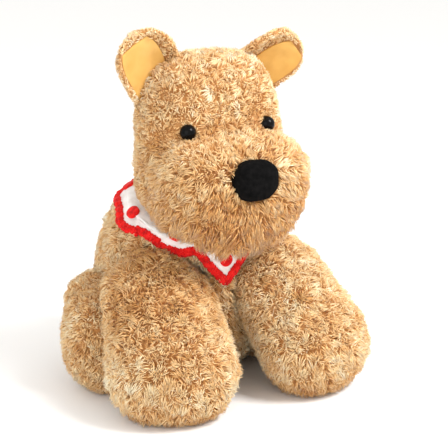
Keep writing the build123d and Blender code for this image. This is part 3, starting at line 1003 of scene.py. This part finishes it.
def make_felt():
    """The collar's felt: its upper face, its lower face and its inner and outer edges."""
    under = cloth_grid - cloth_normals * FELT_THICKNESS
    verts = np.concatenate([cloth_grid.reshape(-1, 3), under.reshape(-1, 3)])
    cells = (LAST_ROW + 1) * COLLAR_STEPS
    faces = []
    for row in range(LAST_ROW):
        for step in range(COLLAR_STEPS):
            after = (step + 1) % COLLAR_STEPS
            quad = (row * COLLAR_STEPS + step, row * COLLAR_STEPS + after,
                    (row + 1) * COLLAR_STEPS + after, (row + 1) * COLLAR_STEPS + step)
            faces.append(tuple(reversed(quad)))
            faces.append(tuple(cells + q for q in quad))
    for row in (0, LAST_ROW):
        for step in range(COLLAR_STEPS):
            a = row * COLLAR_STEPS + step
            b = row * COLLAR_STEPS + (step + 1) % COLLAR_STEPS
            faces.append((a, b, cells + b, cells + a) if row == 0 else (b, a, cells + a, cells + b))
    felt = link_object("collar_felt", mesh_from(verts, faces))
    face_outward(felt.data)
    as_piece(felt, felt_cloth, "torso", "collar_cloth", "collar_cloth")
    return felt


def knot_places():
    """Knots' centres evenly along the hem, with the directions along, across and out of the felt."""
    path = cloth_grid[LAST_ROW] + cloth_normals[LAST_ROW] * KNOT_LIFT_MM * MM
    lengths = np.linalg.norm(np.roll(path, -1, axis=0) - path, axis=1)
    marks = np.concatenate([[0], np.cumsum(lengths)])
    knots = int(lengths.sum() / KNOT_STEP)
    along = np.arange(knots) * lengths.sum() / knots

    def at_knots(values):
        """Values along the hem, read at each knot."""
        ring = np.concatenate([values, values[:1]])
        return np.stack([np.interp(along, marks, ring[:, axis]) for axis in range(3)], axis=1)

    centres = at_knots(path)
    tangents = unit(np.roll(centres, -1, axis=0) - np.roll(centres, 1, axis=0))
    outward = unit(at_knots(cloth_normals[LAST_ROW]))
    return centres, tangents, unit(np.cross(tangents, outward)), outward


def knot_ball():
    """Points and faces of a small ball."""
    bpy.ops.mesh.primitive_ico_sphere_add(subdivisions=2, radius=1)
    ball = bpy.context.object
    points, faces = triangles(ball.data)
    bpy.data.objects.remove(ball)
    return points, faces


def make_edging():
    """Crocheted edging: three rows of small uneven knots side by side, the middle one raised."""
    centres, tangents, sideways, outward = knot_places()
    ball_points, ball_faces = knot_ball()
    verts, faces = [], []
    for shift in KNOT_ROWS_MM:
        for index, centre in enumerate(centres):
            jitter = rng.normal(size=3) * 0.25 * MM
            size = rng.uniform(*KNOT_SIZES_MM) * MM
            stretch = (tangents[index] * 1.1, sideways[index] * 1.05, outward[index] * 1.0)
            shape = sum(np.outer(ball_points[:, axis], stretch[axis]) for axis in range(3)) * size
            shape *= 1 + 0.12 * rng.normal(size=(len(shape), 1))
            middle = centre + sideways[index] * shift * MM + jitter
            if shift == 0:
                middle = middle + tangents[index] * (0.5 * KNOT_STEP) + outward[index] * (0.5 * MM)
            faces += [tuple(int(c) + len(verts) * len(ball_points) for c in face) for face in ball_faces]
            verts.append(shape + middle)
    edging = link_object("collar_crochet", mesh_from(np.concatenate(verts), faces))
    as_piece(edging, red_yarn, "torso", "collar_trim", "collar_edging")
    return edging


def dot_places():
    """Turn and height of each CAD dot about the neck."""
    groups = {}
    for point in points_of(frame["nodes"]["collar_dots"].data):
        relative = Vector(point) - NECK
        turn = math.atan2(relative.dot(NECK_SIDE), relative.dot(NECK_FRONT))
        group = round(math.degrees(turn) / DEGREES_BETWEEN_DOTS)
        groups.setdefault(group, []).append((turn, relative.dot(NECK_AXIS)))
    return [np.array(group).mean(axis=0) for group in groups.values()]


def make_dots():
    """Felt dots, each a low round cushion on the collar."""
    verts, faces = [], []
    rings = len(DOT_RISES_MM)
    for turn, height in dot_places():
        step = int(round(turn / (2 * math.pi) * COLLAR_STEPS)) % COLLAR_STEPS
        height += max(0.0, edge_height[step] - cut_height[step])
        row = int(np.argmin(np.abs(collar_table[TOP_ROWS:, step, 1] - height))) + TOP_ROWS
        middle, normal = cloth_grid[row, step], cloth_normals[row, step]
        across = round_step[row, step] / np.linalg.norm(round_step[row, step])
        upward = np.cross(normal, across)
        start = len(verts)
        verts.append(middle + normal * DOT_RISES_MM[0] * MM)
        for ring, rise in enumerate(DOT_RISES_MM, start=1):
            reach = DOT_RADIUS * min(1.0, ring / (rings - 1))
            for spoke in range(DOT_SPOKES):
                angle = spoke * 2 * math.pi / DOT_SPOKES
                out = across * math.cos(angle) + upward * math.sin(angle)
                verts.append(middle + out * reach + normal * (rise * MM))
        for spoke in range(DOT_SPOKES):
            after = (spoke + 1) % DOT_SPOKES
            faces.append((start, start + 1 + spoke, start + 1 + after))
            for ring in range(rings - 1):
                a = start + 1 + ring * DOT_SPOKES
                faces.append((a + spoke, a + DOT_SPOKES + spoke, a + DOT_SPOKES + after, a + after))
    dots = link_object("collar_felt_dots", mesh_from(verts, faces))
    as_piece(dots, red_yarn, "torso", "collar_trim", "collar_dots")
    return dots


collar = make_felt()
edging = make_edging()
dots = make_dots()


# ---- floor, light and camera ----
FLOOR_HALF = 3.0
KEY_PLACE, KEY_SIZE, KEY_ENERGY = (0.45, -0.70, 0.95), 0.45, 14
FILL_PLACE, FILL_SIZE, FILL_ENERGY = (-0.8, -0.6, 0.4), 0.8, 3
CAMERA_AZIMUTH, CAMERA_ELEVATION = math.radians(-30), math.radians(15)
CAMERA_DISTANCE, CAMERA_LENS, CAMERA_SENSOR = 1.0, 110, 36
AIM_RIGHT, AIM_UP = 19.5 * MM, 109 * MM


def add_floor():
    """Pale floor under the toy."""
    corners = [(-1, -1), (1, -1), (1, 1), (-1, 1)]
    verts = [(x * FLOOR_HALF, y * FLOOR_HALF, 0) for x, y in corners]
    floor = link_object("floor", mesh_from(verts, [(0, 1, 2, 3)]))
    paint, _, shader = new_material("pale floor")
    shader.inputs["Base Color"].default_value = (0.97, 0.97, 0.965, 1)
    shader.inputs["Roughness"].default_value = 0.9
    floor.data.materials.append(paint)


def add_sky():
    """Even light from all round."""
    world = bpy.data.worlds.new("soft sky")
    bpy.context.scene.world = world
    world.use_nodes = True
    background = world.node_tree.nodes["Background"]
    background.inputs["Color"].default_value = (1.0, 0.99, 0.97, 1)
    background.inputs["Strength"].default_value = 1.0


def point_along(thing, place, direction):
    """Puts a light or the camera at its place, looking along a direction."""
    thing.location = place
    thing.rotation_mode = "QUATERNION"
    thing.rotation_quaternion = direction.to_track_quat("-Z", "Y")


def area_light(name, place, target, size, energy):
    """Square light at a place, turned to its target."""
    data = bpy.data.lights.new(name, "AREA")
    data.size = size
    data.energy = energy
    light = link_object(name, data)
    point_along(light, place, Vector(target) - Vector(place))


def add_camera():
    """Camera at the photo's view: in front, to the toy's right and a little above."""
    data = bpy.data.cameras.new("camera")
    data.sensor_width = CAMERA_SENSOR
    data.lens = CAMERA_LENS
    data.clip_start = 0.01
    data.clip_end = 50
    camera = link_object("camera", data)
    bpy.context.scene.camera = camera
    level = math.cos(CAMERA_ELEVATION)
    back = Vector((math.sin(CAMERA_AZIMUTH) * level, -math.cos(CAMERA_AZIMUTH) * level,
                   math.sin(CAMERA_ELEVATION)))
    right = Vector((math.cos(CAMERA_AZIMUTH), math.sin(CAMERA_AZIMUTH), 0))
    target = right * AIM_RIGHT + Vector((0, 0, 1)) * (AIM_UP / level)
    point_along(camera, target + back * CAMERA_DISTANCE, -back)


add_floor()
add_sky()
toy_middle = (cad_low + cad_high) / 2
area_light("key", KEY_PLACE, toy_middle, KEY_SIZE, KEY_ENERGY)
area_light("fill", FILL_PLACE, toy_middle, FILL_SIZE, FILL_ENERGY)
add_camera()

bpy.context.scene.view_settings.view_transform = "Standard"
